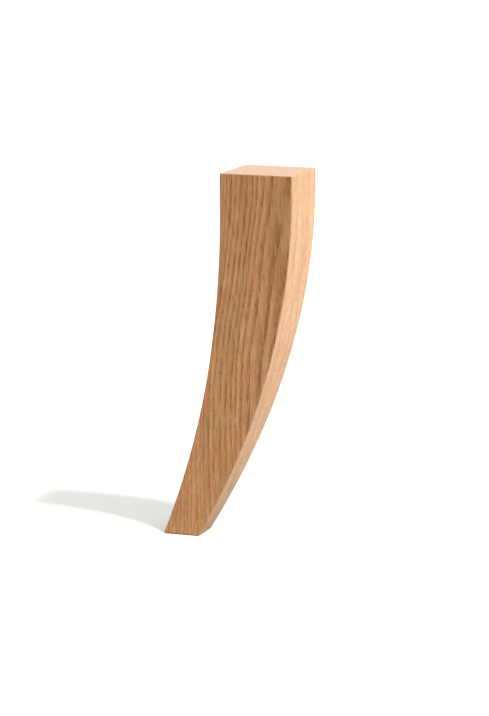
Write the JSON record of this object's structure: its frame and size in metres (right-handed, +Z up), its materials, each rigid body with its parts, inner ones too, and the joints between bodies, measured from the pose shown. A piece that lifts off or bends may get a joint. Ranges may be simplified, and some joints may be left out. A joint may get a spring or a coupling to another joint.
{
  "type": "wooden furniture leg",
  "caption": "Square tapered oak furniture leg, sawn in a sabre sweep on two neighbouring sides so the foot kicks out diagonally.",
  "frame": {"origin": "centre of the flat top face that the furniture stands on", "axes": "+Z up out of the top face; -X and -Y are the outer sides, towards which the foot kicks out equally; the leg hangs down -Z"},
  "size_m": [0.0995, 0.0995, 0.3],
  "materials": {
    "oak": "planed and sanded, clear matt oil"
  },
  "bodies": {
    "root": {"leg": "oak"}
  },
  "joints": []
}
